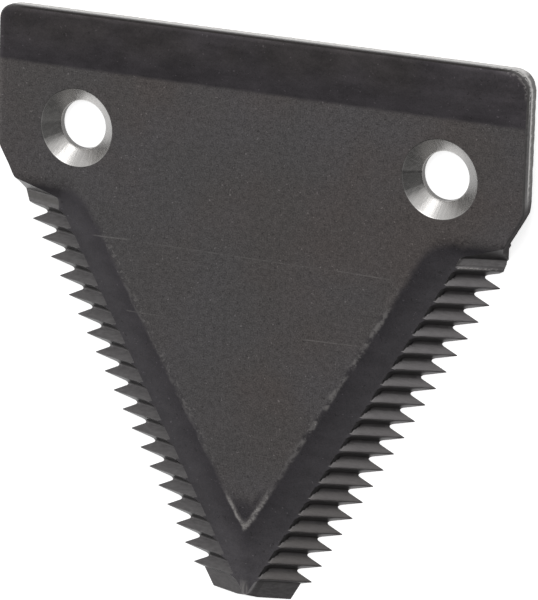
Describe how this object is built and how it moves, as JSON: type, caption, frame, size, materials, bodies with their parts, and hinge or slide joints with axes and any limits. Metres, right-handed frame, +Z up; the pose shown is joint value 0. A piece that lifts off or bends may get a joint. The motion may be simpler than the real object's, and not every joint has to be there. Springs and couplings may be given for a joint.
{
  "type": "mower sickle section",
  "caption": "Flat triangular steel cutting section for a mower knife, with serrated bevelled edges, a blunt tip and countersunk fixing holes behind its square base.",
  "frame": {"origin": "midway between the two hole centres, on the flat underside", "axes": "+X along the base edge, +Y from the tip towards the base edge, +Z up from the flat underside to the bevelled face"},
  "size_m": [0.0762, 0.0769, 0.003],
  "materials": {
    "blade_steel": "dark heat-treated steel, satin, with bright machined countersinks"
  },
  "bodies": {
    "root": {"knife_section": "blade_steel"}
  },
  "joints": []
}
